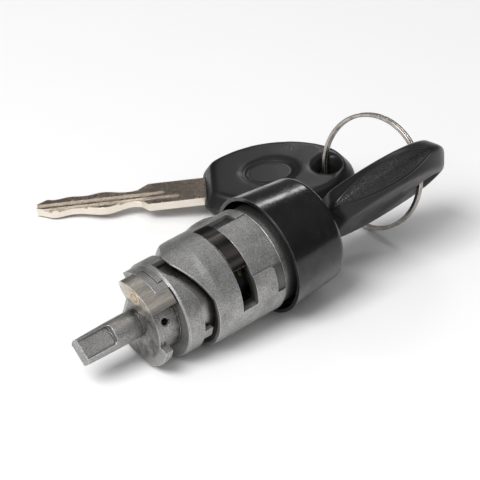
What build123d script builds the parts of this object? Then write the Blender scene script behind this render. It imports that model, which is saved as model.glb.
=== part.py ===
# Ignition lock cylinder with its key pair on a split ring.
# Millimetres. X runs along the barrel towards the key end and Z is up.
# The origin is on the barrel's axis, at the rear rim of the trim cap.
# Clock angles are measured round X from the top, positive towards -Y.

from build123d import *
import os
from math import cos, radians, sin

# Fits
running = 0.05
seat_gap = 0.05
key_play = 0.1

# Trim cap
cap_length = 17.4
cap_rear_r = 16.5
cap_front_r = 15.0
cap_wall = 1.0
cap_face_wall = 1.6
cap_edge_round = 1.8
cap_skirt_depth = 8.0

# Housing barrel
barrel_r = 14.45
barrel_land_x = -17.2
barrel_draft = 0.1
neck_r = 13.6
neck_rear_x = -2.4
flange_r = 14.05
hood_rear_x = -29.2
hood_rear_r = 13.85
hood_bore_r = 13.3
hood_bore_depth = 5.6
hood_land_r = 14.15
hood_land_x = -24.8
hood_bevel_x = -22.7
rim_x = -24.3
far_rim_x = -22.8
far_rim_clock = (-155.0, -50.0)
near_ramp_clock = (12.0, 67.0)
far_ramp_clock = (-5.0, -50.0)
edge_round = 0.35

# Windows and recesses of the barrel, each from and to along X and round the clock
window_x = (-16.85, -11.9)
window_clock = (-18.0, 97.0)
slot_front_x = -5.65
slot_clock = (-18.0, -2.0)
slot_depth = 1.6
recess_front_x = -2.6
recess_clock = (-2.0, 65.0)
band_rear_x = -5.3
band_clock = (60.0, 97.0)
recess_depth = 0.35
recess_corner = 1.2

# Sleeve inside the barrel
sleeve_r = 11.3
sleeve_cut_clock = (52.0, 100.0)
sleeve_cut_margin = 0.6
guard_rear_x = -16.4
guard_end_gap = 0.5
sleeve_pin_r = 1.0
sleeve_pin_clock = 200.0
sleeve_pin_x = 5.0
sleeve_pin_length = 4.4

# Plug and its tumblers
plug_r = 8.2
head_r = 11.85
head_thickness = 2.9
head_gap = 0.05
nose_r = 10.5
face_recess = 0.8
plug_stub_r = 4.5
key_clock = 38.0
wafer_thickness = 1.5
wafer_width = 7.5
wafer_pitch = 2.9
wafer_front_x = 0.2
wafers_ahead = 5
wafers_behind = 3
wafer_ear = 1.7
wafer_ear_height = 1.4
wafer_ear_offset = 4.2
spring_width = 1.2
spring_wire = 0.3
spring_folds = 6
retainer_clock = 72.0
retainer_x = (-16.1, -14.4)
retainer_width = 2.0
retainer_tip_r = 9.85
retainer_foot_r = 5.6
retainer_spring_r = 3.9
groove_depth = 0.25

# Tail casting: collar, neck, plate and tang in one piece
collar_r = 13.0
collar_rear_x = -33.1
collar_front_x = -28.15
cup_floor_x = -32.2
collar_ramp_angles = (12.0, 56.0)
notch_clock = (-8.0, 12.0)
dog_clock = (102.0, 115.0)
dog_front_x = -25.6
dog_r = (11.6, 12.9)
washer_thickness = 0.25
neck_casting_r = 9.2
plate_rear_x = -40.3
plate_thickness = 1.3
plate_r = 10.2
lobe_r = 9.8
lobe_offset = 2.9
lobe_offset_clock = 110.0
lobe_clock = (104.0, 215.0)
relief_clock = -62.0
relief_height = 4.2
tab_r = 12.4
tab_clock = (106.0, 126.0)
tab_front_x = -37.9
tang_r = 3.75
tang_tip_r = 3.55
tang_tip_x = -57.3
tang_flat_x = -48.2
tang_flat_clock = 42.0
tang_waist = 3.8
tang_recess_width = 5.3
casting_round = 0.4

# Steel cam insert in the tail, its rivet and the cross pin
insert_r = 12.5
insert_clock = 17.0
insert_back_r = 8.5
insert_back_offset = 15.0
insert_tip_round = 1.2
insert_proud = 1.0
insert_thickness = 4.0
insert_leg_x = -33.5
insert_leg_clock = (31.0, 51.0)
rivet_offset = 10.35
rivet_length = 4.2
rivet_width = 3.3
rivet_proud = 0.15
boss_clock = (-35.0, 31.0)
boss_r = 12.55
boss_slit_x = -35.0
boss_slit = 0.3
boss_slit_depth = 1.6
cross_pin_x = -37.0
cross_pin_clock = 70.0
cross_pin_r = 1.35
cross_pin_wall = 0.35
cross_pin_gap = 0.02
cross_pin_inset = 0.3
cross_pin_margin = 1.8

# Retaining latch of the barrel
latch_clock = -41.0
latch_x = (-14.6, -7.0)
latch_width = 3.0
latch_foot_gap = 1.1
latch_proud = 0.6
latch_side_gap = 0.1

# Key and its moulded bow
blade_width = 9.5
blade_thickness = 2.5
blade_length = 47.5
blade_shoulder = 15.5
blade_root = 12.0
blade_nose = 3.0
bitting_depth = 2.3
key_groove_width = 1.3
key_groove_depth = 0.55
key_grooves = ((-0.1, 11.0), (-2.3, 6.7))
bow_length = 43.5
bow_half_width = 16.5
bow_end_half = 8.5
bow_far_half = 12.5
bow_far_length = 7.5
bow_corner = 5.5
bow_thickness = 9.5
bow_land = 0.9
bow_side_slope = 3.0
bow_dish = (7.2, 5.4)
bow_dish_depth = 0.7
bow_dish_slope = 0.9
bow_dish_at = 19.5
ring_hole_r = 2.8
ring_hole_edge = 7.8
ring_hole_flare = 1.6
ring_hole_waist = 3.2
bow_front_x = 21.5

# Split ring: wire section, size and lean
ring_r = 16.1
ring_wire_radial = 1.1
ring_wire_axial = 0.8
ring_strand_gap = 0.08
ring_turns = 1.9
ring_axis_azimuth = 190.8
ring_axis_rise = 18.2
ring_at_key = 21.0
ring_at_spare = 203.0

# Slack of the wire in each ring hole: outwards, then along the ring's axis
slack_at_key = (0.7, 0.2)
slack_at_spare = (0.85, -0.4)

# Spare key as it lies: the way it points and how it leans
spare_heading = -37.0
spare_rise = 1.4
spare_roll = 4.0


def radial(clock):
    """Unit vector out from the axis at a clock angle."""
    return Vector(0, -sin(radians(clock)), cos(radians(clock)))


def heading(azimuth, rise):
    """Unit vector from an azimuth about Z and a rise above the XY plane."""
    level = cos(radians(rise))
    return Vector(level * cos(radians(azimuth)), level * sin(radians(azimuth)), sin(radians(rise)))


def across_barrel(x, clock=0.0):
    """Plane across the barrel at x, facing +X, with its own x towards a clock angle."""
    return Plane(origin=(x, 0, 0), x_dir=radial(clock), z_dir=(1, 0, 0))


def out_of_barrel(x, clock, height=0.0):
    """Plane that faces outwards at a clock angle, at a height above the axis."""
    return Plane(origin=Vector(x, 0, 0) + radial(clock) * height, x_dir=(1, 0, 0), z_dir=radial(clock))


def polar(radius, angle):
    """Point in a sketch at a radius and an angle in degrees."""
    return (radius * cos(radians(angle)), radius * sin(radians(angle)))


def ring_sector(inner, outer, start, end):
    """Face between two radii and two angles, in the open sketch."""
    with BuildLine() as edge:
        CenterArc((0, 0), outer, start, end - start)
        CenterArc((0, 0), inner, start, end - start)
        Line(polar(inner, start), polar(outer, start))
        Line(polar(inner, end), polar(outer, end))
    make_face(edge.line.edges())


def closed_outline(points):
    """Face bounded by straight lines through the points, in the open sketch."""
    with BuildLine() as edge:
        Polyline(*points, close=True)
    make_face(edge.line.edges())


def finish(piece, name):
    """Label a finished piece and write it."""
    piece.label = name
    export_step(piece, "parts/" + name + ".step")


os.makedirs("parts", exist_ok=True)

# Places that several pieces share
cap_inner_x = cap_length - cap_face_wall
cap_bore_r = flange_r + running
bore_r = sleeve_r + running
head_rear_x = cap_inner_x - head_gap - head_thickness
barrel_drafted_r = barrel_r - barrel_draft
recess_floor_r = barrel_drafted_r - recess_depth
outside_r = max(barrel_r, hood_land_r) + 1
head_pocket_x = head_rear_x - head_gap
hood_bore_x = hood_rear_x + hood_bore_depth
sleeve_rear_x = cup_floor_x + washer_thickness + seat_gap
plug_rear_x = cup_floor_x + washer_thickness
plug_face_x = cap_length - face_recess
cup_bore_r = sleeve_r + 3 * running
insert_rear_x = plate_rear_x - insert_proud
insert_front_x = insert_rear_x + insert_thickness
stub_end_x = cross_pin_x - cross_pin_margin
key_tip_x = bow_front_x - blade_length
keyway_end_x = key_tip_x - 0.8
keyway_width = blade_width + 2 * key_play
keyway_height = blade_thickness + 2 * key_play
wafer_end_r = plug_r - running
wafer_slot = wafer_thickness + 2 * key_play
retainer_middle_x = (retainer_x[0] + retainer_x[1]) / 2
wafer_xs = [wafer_front_x - wafer_pitch * i for i in range(wafers_ahead)]
wafer_xs += [retainer_middle_x - wafer_pitch * (1.25 + i) for i in range(wafers_behind)]

# Housing: die-cast barrel
with BuildPart() as housing:
    with BuildSketch(Plane.XY):
        closed_outline([
            (hood_rear_x, hood_bore_r),
            (hood_rear_x, hood_rear_r),
            (hood_land_x, hood_land_r),
            (hood_bevel_x, barrel_r),
            (barrel_land_x, barrel_r),
            (neck_rear_x - edge_round, barrel_drafted_r),
            (neck_rear_x, barrel_drafted_r - edge_round),
            (neck_rear_x, neck_r),
            (cap_skirt_depth + seat_gap, neck_r),
            (cap_skirt_depth + seat_gap, flange_r),
            (cap_inner_x, flange_r),
            (cap_inner_x, head_r + running),
            (head_pocket_x, head_r + running),
            (head_pocket_x, bore_r),
            (hood_bore_x, bore_r),
            (hood_bore_x, hood_bore_r),
        ])
    revolve(axis=Axis.X)
    # The rear rim is shorter than the hood, and shorter still on the far side
    with BuildSketch(across_barrel(hood_rear_x)):
        ring_sector(hood_bore_r - 1, outside_r, near_ramp_clock[1], 360 + far_ramp_clock[1])
    extrude(amount=rim_x - hood_rear_x, mode=Mode.SUBTRACT)
    with BuildSketch(across_barrel(hood_rear_x)):
        ring_sector(bore_r - 1, outside_r, *far_rim_clock)
    extrude(amount=far_rim_x - hood_rear_x, mode=Mode.SUBTRACT)
    # Ramps that join both ends of the hood's tip to the rim
    for clock, foot_x, side in ((near_ramp_clock, rim_x, 1), (far_ramp_clock, far_rim_x, -1)):
        reach = barrel_r * sin(radians(abs(clock[1] - clock[0]) / 2))
        with BuildSketch(out_of_barrel(hood_rear_x, sum(clock) / 2)):
            closed_outline([
                (-1, side * reach),
                (0, side * reach),
                (foot_x - hood_rear_x, -side * reach),
                (foot_x - hood_rear_x, -side * (reach + 1)),
                (-1, -side * (reach + 1)),
            ])
        extrude(amount=outside_r, mode=Mode.SUBTRACT)
    # Window through the wall
    with BuildSketch(across_barrel(window_x[0])):
        ring_sector(sleeve_r - 1, outside_r, *window_clock)
    extrude(amount=window_x[1] - window_x[0], mode=Mode.SUBTRACT)
    # Blind slot that runs forward from the window
    with BuildSketch(across_barrel(window_x[1] - 0.5)):
        ring_sector(barrel_drafted_r - slot_depth, outside_r, *slot_clock)
    extrude(amount=slot_front_x - window_x[1] + 0.5, mode=Mode.SUBTRACT)
    # Shallow L-shaped recess ahead of the window
    with BuildSketch(across_barrel(window_x[1] - 0.5)):
        ring_sector(recess_floor_r, outside_r, *recess_clock)
    extrude(amount=recess_front_x - window_x[1] + 0.5, mode=Mode.SUBTRACT)
    with BuildSketch(across_barrel(band_rear_x)):
        ring_sector(recess_floor_r, outside_r, *band_clock)
    extrude(amount=recess_front_x - band_rear_x, mode=Mode.SUBTRACT)
    recess_elbow = out_of_barrel(band_rear_x, recess_clock[1], recess_floor_r + recess_depth / 2).origin
    fillet(housing.edges().sort_by_distance(recess_elbow)[0], recess_corner)
    # Pocket of the retaining latch
    with BuildSketch(out_of_barrel(sum(latch_x) / 2, latch_clock, bore_r - 1)):
        Rectangle(latch_x[1] - latch_x[0] + 2 * latch_side_gap, latch_width + 2 * latch_side_gap)
    extrude(amount=barrel_r - bore_r + 2, mode=Mode.SUBTRACT)
    # Hole of the pin that keys the sleeve
    with BuildSketch(out_of_barrel(sleeve_pin_x, sleeve_pin_clock, plug_r + 1)):
        Circle(sleeve_pin_r)
    extrude(amount=neck_r - plug_r, mode=Mode.SUBTRACT)
finish(housing.part, "housing")

# Trim cap: thin moulded skirt that grips the housing's flange
with BuildPart() as cap:
    with BuildSketch(Plane.XY):
        with BuildLine():
            rear = Line((0, cap_rear_r - cap_wall), (0, cap_rear_r))
            flank = Line(rear @ 1, (cap_length - cap_edge_round, cap_front_r))
            nose = TangentArc(flank @ 1, (cap_length, cap_front_r - cap_edge_round), tangent=flank % 1)
            Polyline(
                nose @ 1,
                (cap_length, nose_r + 3 * running),
                (cap_inner_x, nose_r + 3 * running),
                (cap_inner_x, cap_bore_r),
                (cap_skirt_depth, cap_bore_r),
                (cap_skirt_depth, cap_rear_r - cap_wall - 0.5),
                rear @ 0,
            )
        make_face()
    revolve(axis=Axis.X)
finish(cap.part, "cap")

# Sleeve: blackened steel tube that guides the plug
with BuildPart() as sleeve:
    with BuildSketch(Plane.YZ.offset(sleeve_rear_x)):
        Circle(sleeve_r)
        Circle(plug_r + running, mode=Mode.SUBTRACT)
    extrude(amount=head_pocket_x - sleeve_rear_x)
    # Broached grooves that the tumblers spring into
    with BuildSketch(across_barrel(wafer_xs[-1] - wafer_pitch, key_clock)):
        with PolarLocations(plug_r, 2):
            Rectangle(2 * (retainer_tip_r - plug_r), wafer_width + 2 * key_play)
    extrude(amount=wafer_xs[0] - wafer_xs[-1] + 2 * wafer_pitch, mode=Mode.SUBTRACT)
    # Ring groove of the retainer
    with BuildSketch(Plane.YZ.offset(retainer_x[0] - key_play)):
        Circle(retainer_tip_r + groove_depth)
    extrude(amount=retainer_x[1] - retainer_x[0] + 2 * key_play, mode=Mode.SUBTRACT)
    # Cut-out behind the housing's window
    with BuildSketch(across_barrel(window_x[0] - sleeve_cut_margin)):
        ring_sector(plug_r - 1, sleeve_r + 1, *sleeve_cut_clock)
    extrude(amount=window_x[1] - window_x[0] + 2 * sleeve_cut_margin, mode=Mode.SUBTRACT)
    with BuildSketch(out_of_barrel(sleeve_pin_x, sleeve_pin_clock, plug_r + 1)):
        Circle(sleeve_pin_r)
    extrude(amount=sleeve_r - plug_r, mode=Mode.SUBTRACT)
finish(sleeve.part, "sleeve")

with BuildPart() as sleeve_pin:
    with BuildSketch(out_of_barrel(sleeve_pin_x, sleeve_pin_clock, plug_r + 1)):
        Circle(sleeve_pin_r)
    extrude(amount=sleeve_pin_length)
finish(sleeve_pin.part, "sleeve_pin")

# Guard band: blackened steel strip that nearly fills the window over the sleeve
with BuildPart() as guard_band:
    with BuildSketch(across_barrel(guard_rear_x)):
        ring_sector(bore_r, recess_floor_r, window_clock[0] + guard_end_gap, sleeve_cut_clock[0] - guard_end_gap)
    extrude(amount=window_x[1] - seat_gap - guard_rear_x)
finish(guard_band.part, "guard_band")

# Plug: turned body with head, keyway, tumbler slots and rear stub
ear_reach = wafer_width / 2 + wafer_ear
with BuildPart() as plug:
    with BuildSketch(Plane.XY):
        closed_outline([
            (stub_end_x, 0),
            (stub_end_x, plug_stub_r),
            (plug_rear_x, plug_stub_r),
            (plug_rear_x, plug_r),
            (head_rear_x, plug_r),
            (head_rear_x, head_r),
            (head_rear_x + head_thickness, head_r),
            (head_rear_x + head_thickness, nose_r),
            (plug_face_x, nose_r),
            (plug_face_x, 0),
        ])
    revolve(axis=Axis.X)
    # Keyway, plain in front and warded behind the blade's shoulder
    warding_x = bow_front_x - key_grooves[0][1] - 2
    with BuildSketch(across_barrel(warding_x, key_clock)):
        Rectangle(keyway_width, keyway_height)
    extrude(amount=plug_face_x - warding_x, mode=Mode.SUBTRACT)
    with BuildSketch(across_barrel(keyway_end_x, key_clock)):
        Rectangle(keyway_width, keyway_height)
        for side in (1, -1):
            with Locations((side * key_grooves[0][0], side * keyway_height / 2)):
                Rectangle(
                    key_groove_width - 2 * key_play,
                    2 * (key_groove_depth - key_play / 2),
                    mode=Mode.SUBTRACT,
                )
    extrude(amount=warding_x - keyway_end_x, mode=Mode.SUBTRACT)
    # Funnel round the keyway's mouth
    with BuildSketch(across_barrel(plug_face_x - 1.0, key_clock)):
        Rectangle(keyway_width + 1.6, keyway_height + 1.6)
    extrude(amount=1.0, mode=Mode.SUBTRACT, taper=-20)
    # Tumbler slots, with room beside each for its ear and spring
    for number, x in enumerate(wafer_xs):
        turned = key_clock + 180 * (number % 2)
        with BuildSketch(across_barrel(x - wafer_slot / 2, turned)):
            Rectangle(2 * plug_r + 1, wafer_width + 2 * key_play)
            with Locations(((wafer_ear_offset + key_play) / 2, (ear_reach + key_play) / 2)):
                Rectangle(wafer_ear_offset + 2 * wafer_ear_height + key_play, ear_reach + key_play)
        extrude(amount=wafer_slot, mode=Mode.SUBTRACT)
    # Pocket of the retainer and its spring
    with BuildSketch(out_of_barrel(retainer_middle_x, retainer_clock, retainer_foot_r - key_play)):
        Rectangle(retainer_x[1] - retainer_x[0] + key_play, retainer_width + key_play)
    extrude(amount=plug_r, mode=Mode.SUBTRACT)
    with BuildSketch(out_of_barrel(retainer_middle_x, retainer_clock, retainer_spring_r)):
        Rectangle(spring_width + key_play, spring_width + key_play)
    extrude(amount=retainer_foot_r - retainer_spring_r, mode=Mode.SUBTRACT)
    # Cross hole of the tail's pin
    with BuildSketch(out_of_barrel(cross_pin_x, cross_pin_clock, -plug_stub_r - 1)):
        Circle(cross_pin_r + cross_pin_gap)
    extrude(amount=2 * plug_stub_r + 2, mode=Mode.SUBTRACT)
finish(plug.part, "plug")

# Wafer tumblers: plates with a window for the blade and an ear for the spring
for number, x in enumerate(wafer_xs):
    turned = key_clock + 180 * (number % 2)
    with BuildPart() as wafer:
        with BuildSketch(across_barrel(x - wafer_thickness / 2, turned)):
            Circle(wafer_end_r)
            Rectangle(2 * plug_r, wafer_width, mode=Mode.INTERSECT)
            with Locations((wafer_ear_offset + wafer_ear_height / 2, ear_reach / 2)):
                Rectangle(wafer_ear_height, ear_reach)
            Rectangle(keyway_width, keyway_height + key_play, mode=Mode.SUBTRACT)
        extrude(amount=wafer_thickness)
    finish(wafer.part, "wafer_" + str(number + 1))


def folded_spring(length):
    """Face of a wire folded to and fro along the sketch's x, from 0 to its length."""
    pitch = (length - 2.4 * spring_wire) / spring_folds
    swing = spring_width / 2 - 1.2 * spring_wire
    with BuildLine() as wire:
        Polyline(*[(1.2 * spring_wire + pitch * i, swing * (-1) ** i) for i in range(spring_folds + 1)])
    trace(wire.line.edges(), line_width=spring_wire)


# Springs beside the wafers
spring_side = wafer_width / 2 + key_play + spring_width / 2
with BuildPart() as wafer_springs:
    for number, x in enumerate(wafer_xs):
        turned = key_clock + 180 * (number % 2)
        foot = radial(turned) * -wafer_ear_height + radial(turned + 90) * spring_side
        with BuildSketch(Plane(
            origin=Vector(x - spring_width / 2, 0, 0) + foot, x_dir=radial(turned), z_dir=(1, 0, 0),
        )):
            folded_spring(wafer_ear_offset + wafer_ear_height)
        extrude(amount=spring_width)
finish(wafer_springs.part, "wafer_springs")

# Retainer that keeps the plug in the sleeve
with BuildPart() as retainer:
    with BuildSketch(out_of_barrel(retainer_middle_x, retainer_clock, retainer_foot_r)):
        Rectangle(retainer_x[1] - retainer_x[0], retainer_width)
    extrude(amount=retainer_tip_r - retainer_foot_r)
finish(retainer.part, "retainer")

retainer_spring_seat = Plane(
    origin=Vector(retainer_middle_x, 0, 0) + radial(retainer_clock) * retainer_spring_r,
    x_dir=radial(retainer_clock),
    z_dir=(1, 0, 0),
)
with BuildPart() as retainer_spring:
    with BuildSketch(retainer_spring_seat.offset(-spring_width / 2)):
        folded_spring(retainer_foot_r - retainer_spring_r)
    extrude(amount=spring_width)
finish(retainer_spring.part, "retainer_spring")

# Thrust washer between the sleeve and the tail's cup
with BuildPart() as thrust_washer:
    with BuildSketch(Plane.YZ.offset(cup_floor_x)):
        Circle(sleeve_r - running)
        Circle(plug_stub_r + running, mode=Mode.SUBTRACT)
    extrude(amount=washer_thickness)
finish(thrust_washer.part, "thrust_washer")


def insert_lens(clearance=0.0):
    """Almond of the cam insert in a sketch whose x points at the insert's middle."""
    Circle(insert_r + clearance)
    with Locations((insert_back_offset, 0)):
        Circle(insert_back_r + clearance, mode=Mode.INTERSECT)
    fillet(vertices().sort_by(Axis.Y)[0], insert_tip_round + clearance)


# Tail: collar with helical edge, neck, plate and tang, cast in one
with BuildPart() as tail:
    with BuildSketch(Plane.XY):
        closed_outline([
            (plate_rear_x - 0.01, 0),
            (plate_rear_x - 0.01, tang_r),
            (plate_rear_x, plate_r),
            (plate_rear_x + plate_thickness, plate_r),
            (plate_rear_x + plate_thickness, neck_casting_r),
            (collar_rear_x, neck_casting_r),
            (collar_rear_x, collar_r - casting_round),
            (collar_rear_x + casting_round, collar_r),
            (collar_front_x, collar_r),
            (collar_front_x, cup_bore_r),
            (cup_floor_x, cup_bore_r),
            (cup_floor_x, 0),
        ])
    revolve(axis=Axis.X)
    # The casting is cut away on its far side, from the tang out to the neck
    with BuildSketch(out_of_barrel(plate_rear_x - 1, relief_clock + 90, -collar_r)):
        closed_outline([
            (0, relief_height - 1),
            (collar_rear_x - plate_rear_x + 1, collar_rear_x - plate_rear_x + relief_height),
            (0, collar_rear_x - plate_rear_x + relief_height),
        ])
    extrude(amount=2 * collar_r, mode=Mode.SUBTRACT)
    # Lower lobe of the plate
    with BuildSketch(across_barrel(plate_rear_x, lobe_offset_clock)):
        ring_sector(plug_stub_r + 1, tab_r + 1, *[clock - lobe_offset_clock for clock in lobe_clock])
        with Locations((lobe_offset, 0)):
            Circle(lobe_r, mode=Mode.INTERSECT)
    extrude(amount=plate_thickness)
    # Boss beside the insert, and the plate's tab
    with BuildSketch(across_barrel(insert_front_x + seat_gap)):
        ring_sector(plug_stub_r + 1, boss_r, *boss_clock)
    extrude(amount=collar_rear_x - insert_front_x)
    with BuildSketch(across_barrel(plate_rear_x)):
        ring_sector(plug_stub_r + 1, tab_r, *tab_clock)
    extrude(amount=tab_front_x - plate_rear_x)
    # Driving dog that reaches into the gap ahead of the collar
    with BuildSketch(across_barrel(cup_floor_x)):
        ring_sector(*dog_r, *dog_clock)
    extrude(amount=dog_front_x - cup_floor_x)
    # Tang, drafted where its end is waisted
    with BuildSketch(Plane.XY):
        closed_outline([
            (plate_rear_x, 0),
            (plate_rear_x, tang_r),
            (tang_flat_x, tang_r),
            (tang_tip_x, tang_tip_r),
            (tang_tip_x, 0),
        ])
    revolve(axis=Axis.X)
    # Both sides of the tang's end are hollowed to a waist
    for side in (0, 180):
        tang_side = out_of_barrel(tang_tip_x, tang_flat_clock + side, tang_waist / 2)
        with BuildSketch(tang_side):
            with Locations(((tang_flat_x - tang_tip_x) / 2 - 0.5, 0)):
                RectangleRounded(tang_flat_x - tang_tip_x + 1, tang_recess_width, 0.9)
            with Locations((-0.5, 0)):
                Rectangle(3, tang_recess_width)
        extrude(amount=tang_r, mode=Mode.SUBTRACT)
    # Front edge of the collar: a notch, then a ramp up to full height
    with BuildSketch(across_barrel(cup_floor_x)):
        ring_sector(cup_bore_r - 1, collar_r + 1, *notch_clock)
    extrude(amount=collar_front_x - cup_floor_x + 1, mode=Mode.SUBTRACT)
    collar_ramp_middle = sum(collar_ramp_angles) / 2
    collar_ramp_reach = collar_r * sin(radians((collar_ramp_angles[1] - collar_ramp_angles[0]) / 2))
    with BuildSketch(out_of_barrel(collar_front_x, collar_ramp_middle, plug_stub_r)):
        closed_outline([
            (0, -collar_ramp_reach),
            (cup_floor_x - collar_front_x, collar_ramp_reach),
            (1, collar_ramp_reach),
            (1, -collar_ramp_reach),
        ])
    extrude(amount=collar_r, mode=Mode.SUBTRACT)
    # Pocket of the insert, its leg and its rivet
    with BuildSketch(across_barrel(insert_rear_x, insert_clock)):
        insert_lens(running)
    extrude(amount=insert_front_x + seat_gap - insert_rear_x, mode=Mode.SUBTRACT)
    with BuildSketch(across_barrel(insert_front_x)):
        ring_sector(neck_casting_r - 1, boss_r + 1, insert_leg_clock[0] - 0.3, insert_leg_clock[1])
    extrude(amount=insert_leg_x + seat_gap - insert_front_x, mode=Mode.SUBTRACT)
    # Angled slit that sets the boss's finger apart from the collar
    with BuildSketch(across_barrel(boss_slit_x - boss_slit / 2)):
        ring_sector(boss_r - boss_slit_depth, boss_r + 1, -12, 21)
    extrude(amount=boss_slit, mode=Mode.SUBTRACT)
    with BuildSketch(across_barrel(boss_slit_x)):
        ring_sector(boss_r - boss_slit_depth, boss_r + 1, 19.6, 21)
    extrude(amount=collar_rear_x - boss_slit_x, mode=Mode.SUBTRACT)
    # Blind bore of the plug's stub and the cross hole
    with BuildSketch(Plane.YZ.offset(stub_end_x - seat_gap)):
        Circle(plug_stub_r + running)
    extrude(amount=cup_floor_x - stub_end_x + 1, mode=Mode.SUBTRACT)
    with BuildSketch(out_of_barrel(cross_pin_x, cross_pin_clock, -collar_r)):
        Circle(cross_pin_r + cross_pin_gap)
    extrude(amount=2 * collar_r, mode=Mode.SUBTRACT)
finish(tail.part, "tail")

# Cam insert: hard steel almond with a leg that hooks beside the boss
with BuildPart() as cam_insert:
    with BuildSketch(across_barrel(insert_rear_x, insert_clock)):
        insert_lens()
    extrude(amount=insert_front_x - insert_rear_x)
    with BuildSketch(across_barrel(insert_front_x)):
        ring_sector(neck_casting_r + running, insert_r, *insert_leg_clock)
    extrude(amount=insert_leg_x - insert_front_x)
    with BuildSketch(across_barrel(insert_rear_x, insert_clock)):
        with Locations((rivet_offset, 0)):
            SlotOverall(rivet_length, rivet_width, rotation=90)
    extrude(amount=insert_front_x - insert_rear_x, mode=Mode.SUBTRACT)
finish(cam_insert.part, "cam_insert")

with BuildPart() as rivet:
    with BuildSketch(across_barrel(insert_rear_x - rivet_proud, insert_clock)):
        with Locations((rivet_offset, 0)):
            SlotOverall(rivet_length, rivet_width, rotation=90)
    extrude(amount=insert_front_x - insert_rear_x + rivet_proud)
finish(rivet.part, "rivet")

# Cross pin: rolled spring pin through the neck and the plug's stub
with BuildPart() as cross_pin:
    with BuildSketch(out_of_barrel(cross_pin_x, cross_pin_clock, -neck_casting_r + cross_pin_inset)):
        Circle(cross_pin_r)
        Circle(cross_pin_r - cross_pin_wall, mode=Mode.SUBTRACT)
        with Locations((cross_pin_r, 0)):
            Rectangle(cross_pin_r, 0.2, mode=Mode.SUBTRACT)
    extrude(amount=2 * (neck_casting_r - cross_pin_inset))
finish(cross_pin.part, "cross_pin")

# Latch: sprung steel pawl that holds the barrel in its column
with BuildPart() as latch:
    latch_foot = bore_r + latch_foot_gap
    latch_height = barrel_r + latch_proud - latch_foot
    latch_side = Plane(
        origin=Vector(latch_x[0], 0, 0) + radial(latch_clock) * latch_foot,
        x_dir=(1, 0, 0),
        z_dir=Vector(1, 0, 0).cross(radial(latch_clock)),
    )
    latch_length = latch_x[1] - latch_x[0]
    with BuildSketch(latch_side.offset(-latch_width / 2)):
        closed_outline([
            (0, 0),
            (0, latch_height - latch_proud),
            (latch_length * 0.3, latch_height),
            (latch_length * 0.65, latch_height),
            (latch_length, latch_height - latch_proud),
            (latch_length, 0),
        ])
    extrude(amount=latch_width)
finish(latch.part, "latch")


# Keys, each with a blade and a bow moulded round its root
def both_faces(seat):
    """Planes through a key's middle that look out of its one face and its other."""
    return [Plane(origin=seat.origin, x_dir=seat.x_dir, z_dir=seat.z_dir * side) for side in (1, -1)]


def key_blade_on(seat):
    """Blade with a wavy edge on both sides and two milled grooves on each face."""
    half = blade_width / 2
    low = half - bitting_depth
    nose_start = blade_nose - blade_length
    with BuildPart() as blade:
        with BuildSketch(seat.offset(-blade_thickness / 2)):
            with BuildLine():
                upper = Spline(
                    (-blade_shoulder - 3, low),
                    (-blade_shoulder - 9, low),
                    (-blade_shoulder - 13.5, low + 0.8),
                    (-blade_shoulder - 18, low),
                    (-blade_shoulder - 22.5, low + 0.4),
                    (-blade_shoulder - 26, low - 0.2),
                    (nose_start, low + 0.2),
                )
                lower = Spline(
                    (-blade_shoulder - 2, -low - 0.2),
                    (-blade_shoulder - 7.5, -low - 0.2),
                    (-blade_shoulder - 11.5, -low - 1.5),
                    (-blade_shoulder - 15, -low - 1.2),
                    (-blade_shoulder - 19, -low - 0.1),
                    (-blade_shoulder - 23.5, -low),
                    (-blade_shoulder - 26.5, -low - 0.6),
                    (nose_start, -low + 0.2),
                )
                Polyline(
                    upper @ 0,
                    (-blade_shoulder, half),
                    (blade_root, half),
                    (blade_root, -half),
                    (-blade_shoulder, -half),
                    lower @ 0,
                )
                Polyline(upper @ 1, (-blade_length, 0.9), (-blade_length, -0.9), lower @ 1)
            make_face()
        extrude(amount=blade_thickness)
        for face in both_faces(seat):
            for offset, end in key_grooves:
                with BuildSketch(face.offset(blade_thickness / 2 - key_groove_depth)):
                    with Locations((-(blade_length + end) / 2, offset)):
                        Rectangle(blade_length - end, key_groove_width)
                extrude(amount=blade_thickness, mode=Mode.SUBTRACT)
    return blade.part


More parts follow.
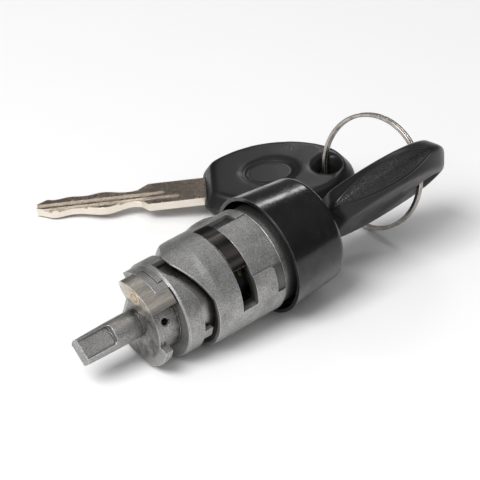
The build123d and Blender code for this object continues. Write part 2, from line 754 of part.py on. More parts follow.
def key_bow_on(seat):
    """Oval bow with sides that slope to the parting line, dished faces and a flared ring hole."""
    with BuildPart() as bow:
        with BuildSketch(seat.offset(-bow_thickness / 2)):
            with BuildLine():
                for side in (1, -1):
                    ThreePointArc(
                        (0, side * bow_end_half),
                        (bow_length * 0.43, side * bow_half_width),
                        (bow_length - bow_far_length, side * bow_far_half),
                    )
                ThreePointArc(
                    (bow_length - bow_far_length, bow_far_half),
                    (bow_length, 0),
                    (bow_length - bow_far_length, -bow_far_half),
                )
                Line((0, bow_end_half), (0, -bow_end_half))
            make_face()
            fillet(vertices(), bow_corner)
        extrude(amount=bow_thickness)
        faces_out = bow.faces().filter_by(Axis((0, 0, 0), seat.z_dir))
        chamfer(faces_out.edges(), length=(bow_thickness - bow_land) / 2, length2=bow_side_slope)
        # Dished faces
        for face in both_faces(seat):
            for height, spread in ((-bow_dish_depth, 0.0), (0.0, bow_dish_slope)):
                with BuildSketch(face.offset(bow_thickness / 2 + height)):
                    with Locations((bow_dish_at, 0)):
                        Ellipse(bow_dish[0] + spread, bow_dish[1] + spread)
            loft(mode=Mode.SUBTRACT)
        # Ring hole, flared from a straight waist to both faces
        hole_axis = Axis(seat.from_local_coords((ring_hole_at, 0, 0)), seat.z_dir)
        hole_side = Plane(origin=hole_axis.position, x_dir=seat.x_dir, z_dir=seat.y_dir)
        with BuildSketch(hole_side):
            waist = ring_hole_waist / 2
            mouth = bow_thickness / 2
            closed_outline([
                (0, -mouth),
                (ring_hole_r + ring_hole_flare, -mouth),
                (ring_hole_r, -waist),
                (ring_hole_r, waist),
                (ring_hole_r + ring_hole_flare, mouth),
                (0, mouth),
            ])
        revolve(axis=hole_axis, mode=Mode.SUBTRACT)
        # Root of the blade
        with BuildSketch(seat):
            with Locations((blade_root / 2, 0)):
                Rectangle(blade_root, blade_width)
        extrude(amount=blade_thickness / 2, both=True, mode=Mode.SUBTRACT)
    return bow.part


ring_hole_at = bow_length - ring_hole_edge
key_seat = Plane(origin=(bow_front_x, 0, 0), x_dir=(1, 0, 0), z_dir=radial(key_clock + 90))

# Seat of the split ring, whose wire runs through the inserted key's hole
ring_axis = heading(ring_axis_azimuth, ring_axis_rise)
ring_across = Vector(0, 0, 1).cross(ring_axis).normalized()
ring_up = ring_axis.cross(ring_across)


def hole_from_ring(angle, slack):
    """Way from the ring's centre to a hole that the wire passes through with some slack."""
    outwards = ring_across * cos(radians(angle)) + ring_up * sin(radians(angle))
    return outwards * (ring_r - slack[0]) - ring_axis * slack[1]


ring_centre = key_seat.from_local_coords((ring_hole_at, 0, 0)) - hole_from_ring(ring_at_key, slack_at_key)

# Seat of the spare key, hung from the ring by its hole
spare_along = heading(spare_heading, spare_rise)
spare_side = Vector(0, 0, 1).cross(spare_along).normalized()
spare_level = spare_along.cross(spare_side)
spare_normal = spare_level * cos(radians(spare_roll)) - spare_side * sin(radians(spare_roll))
spare_seat = Plane(
    origin=ring_centre + hole_from_ring(ring_at_spare, slack_at_spare) - spare_along * ring_hole_at,
    x_dir=spare_along,
    z_dir=spare_normal,
)

finish(key_blade_on(key_seat), "key_blade")
finish(key_bow_on(key_seat), "key_bow")
finish(key_blade_on(spare_seat), "spare_blade")
finish(key_bow_on(spare_seat), "spare_bow")

# Split ring: flattened wire wound nearly twice round
strand_pitch = ring_wire_axial + ring_strand_gap
wound = strand_pitch * ring_turns
coil_foot = ring_centre - ring_axis * (wound / 2)
with BuildPart() as split_ring:
    with BuildLine():
        coil = Helix(strand_pitch, wound, ring_r, center=coil_foot, direction=ring_axis)
    with BuildSketch(Plane(origin=coil @ 0, x_dir=(coil @ 0) - coil_foot, z_dir=coil % 0)):
        RectangleRounded(ring_wire_radial, ring_wire_axial, ring_wire_axial / 4)
    sweep(path=coil, is_frenet=True)
finish(split_ring.part, "split_ring")
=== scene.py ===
"""Looks of an ignition lock cylinder with two keys on a split ring.

Metres, in the frame of its solids: X runs along the lock towards the key's end, Z is up, and the origin is on
the lock's axis at the rear rim of its cap.
"""

from math import cos, radians, sin

import bpy
from mathutils import Matrix, Vector

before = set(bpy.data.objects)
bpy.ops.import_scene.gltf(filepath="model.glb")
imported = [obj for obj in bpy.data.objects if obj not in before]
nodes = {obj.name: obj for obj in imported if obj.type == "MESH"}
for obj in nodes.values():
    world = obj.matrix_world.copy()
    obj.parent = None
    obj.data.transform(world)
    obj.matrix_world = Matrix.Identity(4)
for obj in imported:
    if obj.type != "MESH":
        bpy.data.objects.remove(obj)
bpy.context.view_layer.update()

MM = 0.001
SHARP_FROM = radians(24)

# Places on the lock, in millimetres along its axis, out from the axis or above it
SLEEVE_RADIUS = 11.3
RECESS_FLOOR_RADIUS = 14.0
RECESS_BAND_REAR = -5.3
RECESS_BAND_TOP = 5.9
BARREL_NECK_REAR = -2.4
WINDOW_REAR = -16.85
COLLAR_REAR = -33.1
TAIL_NECK_RADIUS = 9.2
PLATE_REAR = -40.3
INSERT_FOOT = 8.2

# The rivet's middle as Y and Z, and the radius of the ring struck into its end
RIVET_MIDDLE = (-3.03, 9.9)
RIVET_RING = 1.1

# How the two keys lie: the middle of each ring hole in millimetres, and angles
KEY_HOLE = Vector((57.2, 0, 0))
KEY_ALONG = Vector((1, 0, 0))
KEY_CLOCK = radians(38)
SPARE_HOLE = Vector((47.79, 27.13, -10.72))
SPARE_HEADING = radians(-37)
SPARE_RISE = radians(1.4)
SPARE_ROLL = radians(4)

# Places on a key, in millimetres from its ring hole, negative towards the blade's tip
GRIP_MIDDLE = -19.0
GRIP_HALF_LENGTH = 16.5
GRIP_HALF_HEIGHT = 3.1
MILLED_START = -52.0
DISH_MIDDLE = -16.2
DISH_HALF = (7.2, 5.4)

# The dish's inner contour as a share of its oval, and the heights on the bow between which its lines set in
DISH_CONTOUR = 0.84
DISH_HEIGHTS = (3.0, 3.6)

# Floor: its lean round Y, its height from the axis in millimetres and its width in metres
FLOOR_LEAN = radians(6.0)
FLOOR_HEIGHT = -16.41
FLOOR_WIDTH = 6.0

# Light all round: its strength away from one direction and towards it, and the cosine where it starts to rise
AIR_DIM = 0.12
AIR_BRIGHT = 0.72
AIR_START = 0.2
AIR_TOWARDS = Vector((-0.4, -0.35, 0.85))

# Camera that was fitted to the photo: metres, unit vectors of its view, and millimetres of its lens
CAMERA_PLACE = (-0.25565, -0.33963, 0.29973)
CAMERA_RIGHT = (0.7679, -0.6355, -0.0808)
CAMERA_UP = (0.4152, 0.3977, 0.8182)
CAMERA_BACK = (-0.4879, -0.6618, 0.5692)
CAMERA_LENS = 150
CAMERA_SENSOR = 36
CAMERA_NEAR = 0.01


# Shader sums

class Shade:
    """A value in a finish's shader, so that its sums are written as formulas."""

    def __init__(self, finish, socket):
        self.finish = finish
        self.socket = socket

    def sum_with(self, operation, *terms):
        return self.finish.node("ShaderNodeMath", {"operation": operation}, terms)

    def __add__(self, other):
        return self.sum_with("ADD", self, other)

    __radd__ = __add__

    def __sub__(self, other):
        return self.sum_with("SUBTRACT", self, other)

    def __rsub__(self, other):
        return self.sum_with("SUBTRACT", other, self)

    def __mul__(self, other):
        return self.sum_with("MULTIPLY", self, other)

    __rmul__ = __mul__

    def __truediv__(self, other):
        return self.sum_with("DIVIDE", self, other)

    def __pow__(self, power):
        return self.sum_with("POWER", self, power)

    def at_least(self, other):
        return self.sum_with("MAXIMUM", self, other)

    def at_most(self, other):
        return self.sum_with("MINIMUM", self, other)

    def size(self):
        return self.sum_with("ABSOLUTE", self)

    def rise(self, low, high):
        """0 below low, 1 above high and an even curve between; low above high turns it round."""
        return self.finish.node(
            "ShaderNodeMapRange",
            {"interpolation_type": "SMOOTHSTEP"},
            {"Value": self, "From Min": low, "From Max": high},
        )


class Finish:
    """A material built from nodes round one Principled shader."""

    def __init__(self, name, **constants):
        self.material = bpy.data.materials.new(name)
        self.material.use_nodes = True
        self.tree = self.material.node_tree
        self.shader = self.tree.nodes["Principled BSDF"]
        for key, value in constants.items():
            self.shader_input(key).default_value = value

    def shader_input(self, key):
        """An input of the shader, by its name in small letters; specular stands for its index's level."""
        name = "Specular IOR Level" if key == "specular" else key.replace("_", " ").title()
        return self.shader.inputs[name]

    def node(self, kind, settings=None, values=(), out=0):
        """Adds a node: its settings first, then the value or link of each socket, by name or in order."""
        made = self.tree.nodes.new(kind)
        for key, value in (settings or {}).items():
            setattr(made, key, value)
        pairs = values.items() if isinstance(values, dict) else enumerate(values)
        for key, value in pairs:
            self.feed(made.inputs[key], value)
        return Shade(self, made.outputs[out])

    def feed(self, socket, value):
        if isinstance(value, Shade):
            self.tree.links.new(value.socket, socket)
        elif isinstance(value, tuple) and len(value) == 3 and socket.type == "RGBA":
            socket.default_value = (*value, 1)
        else:
            socket.default_value = value

    def give(self, **inputs):
        """Feeds the shader's own inputs and hands over the finished material."""
        for key, value in inputs.items():
            self.feed(self.shader_input(key), value)
        return self.material

    def vector(self, operation, first, second, out="Vector"):
        return self.node("ShaderNodeVectorMath", {"operation": operation}, (first, second), out)

    def dot(self, first, second):
        return self.vector("DOT_PRODUCT", first, second, "Value")

    def place(self, stretch=(1, 1, 1)):
        """Place on the object in millimetres, stretched by a factor along each axis."""
        here = self.node("ShaderNodeTexCoord", out="Object")
        return self.vector("MULTIPLY", here, tuple(part / MM for part in stretch))

    def along(self, axis):
        """Place along the X, Y or Z axis in millimetres."""
        return self.node("ShaderNodeSeparateXYZ", values=(self.place(),), out=axis)

    def off_axis(self):
        """Distance from the barrel's axis in millimetres."""
        y, z = self.along("Y"), self.along("Z")
        return (y * y + z * z) ** 0.5

    def cloud(self, size, detail=3.0, rough=0.55, stretch=(1, 1, 1), shift=0.0):
        """Noise from 0 to 1 whose blotches are about so many millimetres across."""
        return self.node(
            "ShaderNodeTexNoise",
            {"noise_dimensions": "4D"},
            {
                "Vector": self.place(stretch),
                "W": shift,
                "Scale": 1 / size,
                "Detail": detail,
                "Roughness": rough,
            },
        )

    def cells(self, size, stretch=(1, 1, 1), feature="F1"):
        """Distance to the nearest point or edge of cells about so many millimetres across."""
        return self.node(
            "ShaderNodeTexVoronoi",
            {"feature": feature},
            {"Vector": self.place(stretch), "Scale": 1 / size},
            "Distance",
        )

    def blend(self, factor, low, high):
        """Colour that goes from low to high with the factor."""
        return self.node("ShaderNodeMix", {"data_type": "RGBA"}, {0: factor, 6: low, 7: high}, out=2)

    def rounded(self, width):
        """Normal that rounds sharp edges about so many millimetres wide."""
        return self.node("ShaderNodeBevel", {"samples": 4}, {"Radius": width * MM})

    def edges(self, width, low=0.02, high=0.2):
        """1 on sharp edges about so many millimetres wide, 0 elsewhere."""
        plain = self.node("ShaderNodeNewGeometry", out="Normal")
        return (1 - self.dot(self.rounded(width), plain)).rise(low, high)

    def corners(self, reach, low=0.94, high=0.45):
        """1 in corners and narrow gaps within so many millimetres of another surface, 0 in the open."""
        sky = self.node("ShaderNodeAmbientOcclusion", {"samples": 8}, {"Distance": reach * MM}, "AO")
        return sky.rise(low, high)

    def relief(self, height, depth, edge_round=0.0):
        """Normal bent by a height map: depth is its full height in millimetres."""
        values = {"Height": height, "Distance": depth * MM, "Strength": 1.0}
        if edge_round:
            values["Normal"] = self.rounded(edge_round)
        return self.node("ShaderNodeBump", values=values)


def grey(value, warmth=0.0):
    """Grey colour, a little warm or cool."""
    return (value * (1 + warmth), value, value * (1 - 1.3 * warmth))


# Finishes

def cast_zinc(name, tone=0.36, grime=0.6):
    """Bare pressure-cast zinc: sparkling grain, soft blotches, bright edges that are partly wear and partly
    painted highlight, dark pits and painted shade in corners.

    Returned open, with its colour, roughness and normal, for the marks of one casting.
    """
    zinc = Finish(name, metallic=0.88)
    grain = zinc.cloud(0.33, detail=3, rough=0.72)
    fine = zinc.cloud(0.14, detail=2, rough=0.6, shift=2.0)
    pits = zinc.cells(0.6).rise(0.24, 0.06) * zinc.cloud(1.8, detail=2).rise(0.52, 0.7)
    blotch = zinc.cloud(3.6, detail=4)
    stain = zinc.cloud(6.5, detail=5, rough=0.6, shift=4.0).rise(0.48, 0.76) * grime
    # Bright edges: partly wear, which also makes them smoother, and partly painted highlight.
    wear_and_highlight = zinc.edges(0.3) * zinc.cloud(0.8, detail=3).rise(0.22, 0.5)
    # Painted shade: colour darkened in corners and narrow gaps, from occlusion.
    gap = zinc.corners(1.1, 0.95, 0.52) * (0.55 + 0.45 * blotch)
    shade = (0.12 * blotch + 0.46 * grain + 0.42 * fine).rise(0.36, 0.64)
    base = zinc.blend(shade, grey(tone * 0.45, 0.004), grey(tone * 1.55, 0.012))
    base = zinc.blend(stain, base, grey(tone * 0.4, 0.03))
    base = zinc.blend(pits * 0.75, base, grey(tone * 0.2))
    base = zinc.blend(gap, base, grey(0.02, 0.06))
    base = zinc.blend(wear_and_highlight, base, grey(0.85, 0.01))
    rough = (0.34 + 0.2 * grain - 0.06 * blotch + 0.12 * stain - 0.14 * wear_and_highlight).at_least(0.2)
    height = 0.7 * grain + 0.2 * fine + 0.1 * blotch - 0.6 * pits
    return zinc, base, rough, zinc.relief(height, 0.13, edge_round=0.16)


def barrel_zinc():
    """Barrel: cast zinc with painted shade on the recess's band, inside the window and on the neck under the
    cap.
    """
    zinc, base, rough, normal = cast_zinc("barrel_zinc")
    x, out = zinc.along("X"), zinc.off_axis()
    # Painted shade on the recess's sunken band.
    band = out.rise(RECESS_FLOOR_RADIUS + 0.25, RECESS_FLOOR_RADIUS + 0.05)
    band = band * zinc.along("Z").rise(RECESS_BAND_TOP + 0.5, RECESS_BAND_TOP - 0.5)
    band = band * x.rise(RECESS_BAND_REAR - 0.3, RECESS_BAND_REAR)
    band = band * x.rise(BARREL_NECK_REAR, BARREL_NECK_REAR - 0.2)
    # Painted shade on the surfaces deep inside the window.
    inside = out.rise(RECESS_FLOOR_RADIUS - 0.3, SLEEVE_RADIUS + 0.9)
    # Painted shade on the neck under the cap.
    neck = x.rise(BARREL_NECK_REAR - 0.1, BARREL_NECK_REAR + 2.0)
    base = zinc.blend(band * 0.72, base, grey(0.05, 0.02))
    base = zinc.blend(inside * 0.88, base, grey(0.05, 0.04))
    base = zinc.blend(neck * 0.8, base, grey(0.04, 0.03))
    return zinc.give(base_color=base, roughness=rough, normal=normal)


def tail_zinc():
    """Tail casting: cast zinc with dark, shinier patches on its neck behind the collar and behind the plate,
    partly greasy dirt and partly painted shade.
    """
    zinc, base, rough, normal = cast_zinc("tail_zinc", tone=0.34, grime=0.8)
    x = zinc.along("X")
    by_collar = x.rise(COLLAR_REAR - 3.6, COLLAR_REAR - 0.2) * x.rise(COLLAR_REAR + 0.3, COLLAR_REAR - 0.3)
    by_plate = x.rise(PLATE_REAR - 3.2, PLATE_REAR - 0.2) * x.rise(PLATE_REAR + 0.5, PLATE_REAR)
    on_neck = zinc.off_axis().rise(TAIL_NECK_RADIUS + 1.2, TAIL_NECK_RADIUS + 0.1)
    # Dark, shinier patches in the recesses on the neck: partly greasy dirt and partly painted shade.
    grease_and_shade = zinc.cloud(2.2, detail=4, rough=0.6, shift=9.0).rise(0.3, 0.62)
    grease_and_shade = ((by_collar + by_plate) * on_neck).at_most(1) * grease_and_shade
    base = zinc.blend(grease_and_shade * 0.65, base, (0.075, 0.062, 0.048))
    return zinc.give(base_color=base, roughness=rough - 0.16 * grease_and_shade, normal=normal)


def turned_zinc():
    """Core of the lock: lathe lines round the axis under a film of oil, painted highlights on its edges and
    painted shade inside the barrel.
    """
    zinc = Finish("turned_zinc", metallic=0.9)
    lathe = zinc.cloud(0.12, detail=2, rough=0.6, stretch=(1, 0.02, 0.02))
    film = zinc.cloud(4.0, detail=4).rise(0.35, 0.7)
    # Painted shade on the part inside the barrel.
    inside = zinc.along("X").rise(0.0, -2.0)
    base = zinc.blend(film, grey(0.34, 0.02), grey(0.5, 0.01))
    # Painted highlight on the edges.
    base = zinc.blend(zinc.edges(0.15), base, grey(0.7))
    base = zinc.blend(inside * 0.85, base, grey(0.03, 0.04))
    rough = 0.34 + 0.14 * lathe - 0.08 * film
    return zinc.give(base_color=base, roughness=rough, normal=zinc.relief(lathe, 0.01, edge_round=0.08))


def tube_steel():
    """Steel tube: fine lines round it, oil marks and rubbed patches, painted shade in gaps and inside the
    window, and painted highlights on its edges.
    """
    steel = Finish("tube_steel", metallic=1.0)
    lines = steel.cloud(0.1, detail=3, rough=0.65, stretch=(1, 0.04, 0.04))
    rubbed = steel.cloud(2.6, detail=4, shift=2.0).rise(0.5, 0.74)
    oil = steel.cloud(5.0, detail=3, shift=7.0).rise(0.35, 0.65)
    # Painted shade on the tube inside the housing, forward of the window's rear edge.
    inside = steel.along("X").rise(WINDOW_REAR - 1.0, WINDOW_REAR)
    base = steel.blend(rubbed, (0.4, 0.385, 0.37), (0.58, 0.56, 0.54))
    base = steel.blend(lines.rise(0.5, 0.8) * 0.4, base, (0.24, 0.22, 0.2))
    base = steel.blend(inside * 0.93, base, grey(0.02, 0.04))
    # Painted shade in gaps, from occlusion.
    base = steel.blend(steel.corners(3.0, 0.85, 0.35) * 0.9, base, grey(0.015, 0.04))
    # Painted highlight on the edges.
    base = steel.blend(steel.edges(0.15), base, grey(0.5, 0.03))
    rough = 0.26 + 0.16 * lines - 0.07 * oil
    return steel.give(base_color=base, roughness=rough, normal=steel.relief(lines, 0.008, edge_round=0.08))


def blued_strip():
    """Guard band in the window: dark blued steel with painted reflections in bright and dark bars along the
    barrel, and painted highlights on its edges.
    """
    strip = Finish("blued_strip", metallic=1.0)
    # Painted reflections: bright and dark bars along the barrel, also used as a slight bump.
    bars = strip.cloud(2.4, detail=2, rough=0.5, stretch=(0.03, 1, 1), shift=1.5).rise(0.42, 0.66)
    lines = strip.cloud(0.16, detail=3, rough=0.6, stretch=(0.05, 1, 1))
    oil = strip.cloud(2.2, detail=4, shift=6.0).rise(0.4, 0.7)
    base = strip.blend(bars, (0.02, 0.019, 0.018), (0.11, 0.1, 0.094))
    base = strip.blend(lines.rise(0.5, 0.8) * 0.3, base, (0.16, 0.15, 0.14))
    # Painted highlight on the edges.
    base = strip.blend(strip.edges(0.15), base, grey(0.5, 0.03))
    rough = 0.22 + 0.14 * lines + 0.08 * oil
    normal = strip.relief(0.75 * bars + 0.25 * lines, 0.03, edge_round=0.12)
    return strip.give(base_color=base, roughness=rough, normal=normal)


def plain_steel(name, tone, warmth=0.02):
    """Small drawn or stamped steel: draw lines, tarnish and painted highlights on its edges and corners."""
    steel = Finish(name, metallic=1.0)
    lines = steel.cloud(0.14, detail=3, rough=0.6, stretch=(0.08, 1, 1))
    tarnish = steel.cloud(1.5, detail=4).rise(0.45, 0.75)
    base = steel.blend(tarnish, grey(tone, warmth), grey(tone * 0.6, warmth * 2))
    # Painted highlight on the edges.
    base = steel.blend(steel.edges(0.12), base, grey(0.75, 0.01))
    rough = 0.28 + 0.18 * lines + 0.1 * tarnish
    return steel.give(base_color=base, roughness=rough, normal=steel.relief(lines, 0.008, edge_round=0.06))


def ground_steel():
    """Cam insert: ground lines along its length, warm painted sheen in broad bands, faint stains, painted
    shade at its foot and in gaps, and painted highlights on its edges.
    """
    steel = Finish("ground_steel", metallic=1.0)
    lines = steel.cloud(0.13, detail=4, rough=0.7, stretch=(0.045, 1, 1))
    # Broad bands along the insert: painted sheen, mixed into its colour with the ground lines.
    broad = steel.cloud(1.1, detail=2, rough=0.5, stretch=(0.05, 1, 1), shift=3.0)
    stain = steel.cloud(1.7, detail=4, shift=5.0).rise(0.55, 0.8)
    tint = (0.6 * lines + 0.4 * broad).rise(0.3, 0.7)
    # Painted shade: the insert's lower part, towards its foot, is darker.
    foot = steel.along("Z").rise(INSERT_FOOT + 0.8, INSERT_FOOT - 0.8)
    base = steel.blend(tint, (0.3, 0.27, 0.24), (0.82, 0.76, 0.69))
    base = steel.blend(stain * 0.6, base, (0.2, 0.16, 0.13))
    base = steel.blend(foot * 0.6, base, (0.05, 0.045, 0.04))
    # Painted shade in gaps, from occlusion.
    base = steel.blend(steel.corners(0.7), base, (0.02, 0.018, 0.016))
    # Painted highlight on the edges.
    base = steel.blend(steel.edges(0.12), base, grey(0.82, 0.02))
    rough = 0.24 + 0.2 * lines + 0.1 * stain
    return steel.give(base_color=base, roughness=rough, normal=steel.relief(lines, 0.012, edge_round=0.1))


def sheet_brass(name, colour):
    """Stamped brass: stamping lines, tarnish in blotches, painted highlights on its edges and painted shade
    in gaps.
    """
    brass = Finish(name, metallic=0.9)
    blotch = brass.cloud(0.8, detail=4).rise(0.3, 0.75)
    lines = brass.cloud(0.1, detail=2, rough=0.6, stretch=(1, 0.2, 1))
    base = brass.blend(blotch * 0.5, colour, tuple(part * 0.5 for part in colour))
    # Painted highlight on the edges.
    base = brass.blend(brass.edges(0.12), base, tuple(min(1, part * 1.3) for part in colour))
    # Painted shade in gaps, from occlusion.
    base = brass.blend(brass.corners(2.5, 0.9, 0.4) * 0.92, base, (0.03, 0.026, 0.02))
    rough = 0.34 + 0.2 * blotch + 0.08 * lines
    normal = brass.relief(blotch + lines, 0.012, edge_round=0.1)
    return brass.give(base_color=base, roughness=rough, normal=normal)


def rivet_brass():
    """Rivet of the cam insert: pale brass whose end carries a struck ring, darkened with painted shade in its
    groove, and painted highlights on its edges.
    """
    brass = Finish("rivet_brass", metallic=0.9)
    middle_y, middle_z = RIVET_MIDDLE
    out = ((brass.along("Y") - middle_y) ** 2 + (brass.along("Z") - middle_z) ** 2) ** 0.5
    ring = (out - RIVET_RING).size().rise(0.22, 0.06)
    blotch = brass.cloud(0.7, detail=4).rise(0.3, 0.75)
    base = brass.blend(blotch, (0.7, 0.58, 0.43), (0.44, 0.36, 0.26))
    # Painted shade in the struck ring's groove.
    base = brass.blend(ring * 0.7, base, (0.2, 0.15, 0.1))
    # Painted highlight on the edges.
    base = brass.blend(brass.edges(0.12), base, (0.85, 0.75, 0.6))
    rough = 0.36 + 0.2 * blotch
    normal = brass.relief(blotch - ring, 0.03, edge_round=0.08)
    return brass.give(base_color=base, roughness=rough, normal=normal)


def gloss_black():
    """Moulded cap: deep black, slightly wavy gloss, hair scratches, finger dulling, dust and painted
    highlights on its rims.
    """
    shell = Finish("gloss_black", specular=0.34, coat_roughness=0.1)
    wave = shell.cloud(5.0, detail=2, rough=0.5)
    fingers = shell.cloud(5.5, detail=5, rough=0.65, shift=3.0).rise(0.42, 0.72)
    hair = shell.cells(1.7, (0.35, 1, 1.4), "DISTANCE_TO_EDGE").rise(0.02, 0.0)
    hair = hair * shell.cloud(2.5, detail=2, shift=8.0).rise(0.52, 0.62)
    dust = shell.cloud(0.12, detail=2, shift=1.0).rise(0.68, 0.78)
    dust = dust * shell.cloud(3.0, detail=3, shift=6.0).rise(0.45, 0.7)
    base = shell.blend(fingers, (0.005, 0.005, 0.0055), (0.011, 0.0105, 0.0105))
    # Painted highlight on the rims and edges.
    base = shell.blend(shell.edges(0.35, 0.01, 0.12) * 0.8, base, (0.12, 0.115, 0.11))
    base = shell.blend(dust * 0.25, base, (0.2, 0.19, 0.18))
    rough = (0.2 + 0.12 * fingers + 0.12 * hair + 0.3 * dust).at_most(0.7)
    height = 0.92 * wave + 0.03 * shell.cloud(0.4, detail=2) - 0.04 * hair
    normal = shell.relief(height, 0.09, edge_round=0.3)
    return shell.give(base_color=base, roughness=rough, coat_weight=0.4 - 0.3 * fingers, normal=normal)


def bow_black(name, hole, along, normal):
    """Key bow: satin black moulding with a dish's rim on each face, a pebbled lens with painted glints on
    each edge, and painted highlights on its rounded edges.
    """
    bow = Finish(name, specular=0.4)
    from_hole = bow.vector("SUBTRACT", bow.place(), hole)
    length = bow.dot(from_hole, along)
    height = bow.dot(from_hole, normal).size()
    across = bow.dot(from_hole, normal.cross(along))

    oval = (((length - DISH_MIDDLE) / DISH_HALF[0]) ** 2 + (across / DISH_HALF[1]) ** 2) ** 0.5
    rim = (oval - 1).size().rise(0.09, 0.0) - 0.6 * (oval - DISH_CONTOUR).size().rise(0.08, 0.0)
    rim = rim * height.rise(*DISH_HEIGHTS)

    reach = ((length - GRIP_MIDDLE) / GRIP_HALF_LENGTH).size().at_most(1)
    inside = GRIP_HALF_HEIGHT * (1 - reach ** 2) - height
    grip = inside.rise(0.0, 0.25)
    ridge = (inside + 0.3).size().rise(0.4, 0.0) * reach.rise(1.0, 0.85)
    pebble = bow.cells(0.34).rise(0.0, 0.75)
    # Painted glints on the pebbled grip.
    glint = bow.cloud(0.3, detail=2, rough=0.7, shift=3.0).rise(0.5, 0.72) * grip

    grain = bow.cells(0.2).rise(0.0, 0.8)
    soft = bow.cloud(5.0, detail=4)
    handled = bow.cloud(7.0, detail=3, shift=5.0).rise(0.4, 0.68)
    dust = bow.cloud(0.14, detail=2, shift=2.0).rise(0.66, 0.76)
    dust = dust * bow.cloud(2.5, detail=3, shift=9.0).rise(0.5, 0.7)
    base = bow.blend(soft, (0.004, 0.0043, 0.0046), (0.009, 0.009, 0.0095))
    # Painted highlight on the rounded edges.
    base = bow.blend(bow.edges(0.6, 0.01, 0.16) * 0.35, base, (0.05, 0.049, 0.048))
    base = bow.blend(glint * 0.5, base, (0.12, 0.115, 0.11))
    base = bow.blend(dust * 0.25, base, (0.18, 0.17, 0.16))
    rough = (0.31 + 0.1 * soft - 0.08 * handled).at_least(0.2)
    relief = 0.03 * grain + 0.8 * grip * pebble + 0.6 * rim + 0.6 * ridge
    return bow.give(base_color=base, roughness=rough, normal=bow.relief(relief, 0.16))


def key_nickel(name, hole, along, normal):
    """Key blade: warm nickel plate with tarnish in blotches, bright where it is milled and on its cut edges,
    with painted shade in its grooves and next to the bow, and painted highlights along its edges.
    """
    nickel = Finish(name, metallic=1.0)
    length = nickel.dot(nickel.vector("SUBTRACT", nickel.place(), hole), along)
    milled = length.rise(MILLED_START + 2.5, MILLED_START)
    milled = milled * nickel.cloud(1.4, detail=3, shift=2.0).rise(0.2, 0.5)
    lines = nickel.cloud(0.16, detail=3, rough=0.6, stretch=(0.06, 1, 1))
    scratch = nickel.cells(1.1, (0.25, 1, 1), "DISTANCE_TO_EDGE").rise(0.025, 0.0)
    scratch = scratch * nickel.cloud(1.6, detail=2).rise(0.5, 0.64)
    dull = nickel.cloud(2.4, detail=4, shift=4.0).rise(0.4, 0.75)
    flat = nickel.dot(nickel.node("ShaderNodeTexCoord", out="Normal"), normal).size().rise(0.75, 0.97)
    face = nickel.blend(dull, (0.34, 0.285, 0.24), (0.21, 0.175, 0.145))
    cut = nickel.blend(lines.rise(0.3, 0.7), (0.36, 0.3, 0.25), (0.78, 0.68, 0.57))
    face = nickel.blend(milled * 0.85, face, cut)
    base = nickel.blend(flat, (0.82, 0.75, 0.66), face)
    base = nickel.blend(scratch * 0.5, base, (0.8, 0.77, 0.73))
    # Painted shade on the flat faces in grooves and next to the bow, from occlusion.
    base = nickel.blend(nickel.corners(0.8) * flat, base, (0.05, 0.04, 0.03))
    # Painted highlight on the edges.
    base = nickel.blend(nickel.edges(0.18), base, (0.88, 0.83, 0.76))
    rough = 0.18 + 0.12 * lines + 0.12 * dull + 0.14 * (1 - flat)
    normal = nickel.relief(0.5 * lines + 0.5 * dull - 0.5 * scratch, 0.015, edge_round=0.12)
    return nickel.give(base_color=base, roughness=rough, normal=normal)


def ring_nickel():
    """Split ring: bright drawn wire, rubbed where the strands slide, with painted highlights on its edges."""
    ring = Finish("ring_nickel", metallic=1.0)
    rub = ring.cloud(2.4, detail=2).rise(0.4, 0.7)
    fine = ring.cloud(0.15, detail=2)
    base = ring.blend(rub, (0.46, 0.43, 0.4), (0.34, 0.31, 0.285))
    # Painted highlight on the wire's edges.
    base = ring.blend(ring.edges(0.12), base, (0.78, 0.74, 0.7))
    rough = 0.18 + 0.16 * rub + 0.06 * fine
    return ring.give(base_color=base, roughness=rough, normal=ring.relief(fine, 0.006, edge_round=0.12))


def dress(finish, *names):
    """Gives a finish to solids of the frame, shaded smooth across shallow angles."""
    for name in names:
        piece = nodes[name]
        piece.data.materials.clear()
        piece.data.materials.append(finish)
        piece.data.shade_smooth()
        piece.data.set_sharp_from_angle(angle=SHARP_FROM)


def soften(name, grid=0.28, passes=80):
    """Rounds a moulded piece's edges: its skin is laid on an even grid in millimetres, then relaxed."""
    skin = nodes[name].modifiers.new("even_grid", "REMESH")
    skin.mode = "VOXEL"
    skin.voxel_size = grid * MM
    skin.use_smooth_shade = True
    relax = nodes[name].modifiers.new("relax", "SMOOTH")
    relax.factor = 0.5
    relax.iterations = passes


def key_lie():
    """The key in the lock: its ring hole, the way towards it, and the way out of its face."""
    return KEY_HOLE, KEY_ALONG, Vector((0, -cos(KEY_CLOCK), -sin(KEY_CLOCK)))


def spare_lie():
    """The spare key: its ring hole, the way towards it, and the way out of its upper face."""
    level = cos(SPARE_RISE)
    along = Vector((level * cos(SPARE_HEADING), level * sin(SPARE_HEADING), sin(SPARE_RISE)))
    side = Vector((0, 0, 1)).cross(along).normalized()
    return SPARE_HOLE, along, along.cross(side) * cos(SPARE_ROLL) - side * sin(SPARE_ROLL)


wafers = sorted(name for name in nodes if name.startswith("wafer_") and name != "wafer_springs")
dress(barrel_zinc(), "housing")
dress(tail_zinc(), "tail")
dress(turned_zinc(), "plug")
dress(tube_steel(), "sleeve", "thrust_washer")
dress(gloss_black(), "cap")
dress(sheet_brass("stamped_brass", (0.62, 0.46, 0.2)), *wafers)
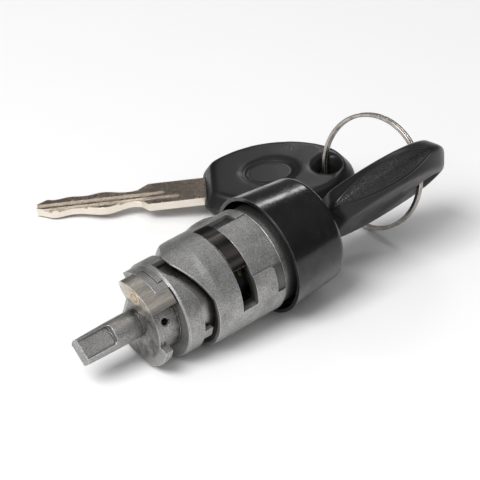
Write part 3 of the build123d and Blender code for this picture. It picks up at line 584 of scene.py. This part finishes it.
# The retainer gets a very dark copy of the brass: painted shade for the part inside the window.
dress(sheet_brass("shaded_brass", (0.09, 0.075, 0.055)), "retainer")
dress(plain_steel("spring_steel", 0.5), "wafer_springs", "retainer_spring")
dress(plain_steel("pin_steel", 0.36), "cross_pin", "sleeve_pin")
dress(plain_steel("latch_steel", 0.46), "latch")
dress(ground_steel(), "cam_insert")
dress(rivet_brass(), "rivet")
dress(ring_nickel(), "split_ring")
dress(blued_strip(), "guard_band")

for key, lie in (("key", key_lie()), ("spare", spare_lie())):
    dress(key_nickel(f"{key}_nickel", *lie), f"{key}_blade")
    dress(bow_black(f"{key}_bow_black", *lie), f"{key}_bow")
    soften(f"{key}_bow")


# Floor, light and camera

def place_in_scene(name, data):
    placed = bpy.data.objects.new(name, data)
    bpy.context.scene.collection.objects.link(placed)
    return placed


def pale_floor():
    """Plain floor that leans with the surface the lock lies on."""
    normal = Vector((sin(FLOOR_LEAN), 0, cos(FLOOR_LEAN)))
    across = Vector((cos(FLOOR_LEAN), 0, -sin(FLOOR_LEAN))) * FLOOR_WIDTH / 2
    side = normal.cross(across)
    middle = normal * FLOOR_HEIGHT * MM
    signs = ((-1, -1), (1, -1), (1, 1), (-1, 1))
    mesh = bpy.data.meshes.new("floor")
    mesh.from_pydata([middle + across * a + side * b for a, b in signs], [], [(0, 1, 2, 3)])
    paint = Finish("floor_paint", roughness=0.9)
    speck = paint.cloud(40)
    mesh.materials.append(paint.give(base_color=paint.blend(speck, grey(0.93), grey(0.95))))
    floor = place_in_scene("floor", mesh)


def studio_air():
    """Soft light all round that grows towards one direction."""
    world = bpy.data.worlds.new("studio_air")
    bpy.context.scene.world = world
    world.use_nodes = True
    tree = world.node_tree
    light = tree.nodes["Background"]
    light.inputs["Color"].default_value = (1, 1, 1, 1)
    way = tree.nodes.new("ShaderNodeTexCoord")
    facing = tree.nodes.new("ShaderNodeVectorMath")
    facing.operation = "DOT_PRODUCT"
    facing.inputs[1].default_value = AIR_TOWARDS.normalized()
    pick = tree.nodes.new("ShaderNodeMapRange")
    pick.interpolation_type = "SMOOTHSTEP"
    pick.inputs["From Min"].default_value = AIR_START
    pick.inputs["From Max"].default_value = 1.0
    pick.inputs["To Min"].default_value = AIR_DIM
    pick.inputs["To Max"].default_value = AIR_BRIGHT
    tree.links.new(way.outputs["Generated"], facing.inputs[0])
    tree.links.new(facing.outputs["Value"], pick.inputs["Value"])
    tree.links.new(pick.outputs["Result"], light.inputs["Strength"])


def soft_box(name, place, size, watts):
    """Lamp with a rectangular face, in metres, turned to the lock."""
    lamp = bpy.data.lights.new(name, "AREA")
    lamp.shape = "RECTANGLE"
    lamp.size, lamp.size_y = size
    lamp.energy = watts
    holder = place_in_scene(name, lamp)
    holder.location = place
    holder.rotation_euler = (-Vector(place)).to_track_quat("-Z", "Y").to_euler()


def photo_camera():
    """Camera that sees the lock as the photo does."""
    data = bpy.data.cameras.new("photo_view")
    data.lens = CAMERA_LENS
    data.sensor_width = CAMERA_SENSOR
    data.clip_start = CAMERA_NEAR
    camera = place_in_scene("photo_view", data)
    turn = Matrix((CAMERA_RIGHT, CAMERA_UP, CAMERA_BACK)).transposed()
    camera.matrix_world = Matrix.Translation(CAMERA_PLACE) @ turn.to_4x4()
    bpy.context.scene.camera = camera


pale_floor()
studio_air()
soft_box("key_light", place=(-0.62, -0.16, 1.0), size=(0.62, 0.6), watts=12.4)
soft_box("back_strip", place=(0.71, 0.65, 0.71), size=(0.3, 0.12), watts=1.2)
photo_camera()

bpy.context.scene.view_settings.view_transform = "Standard"
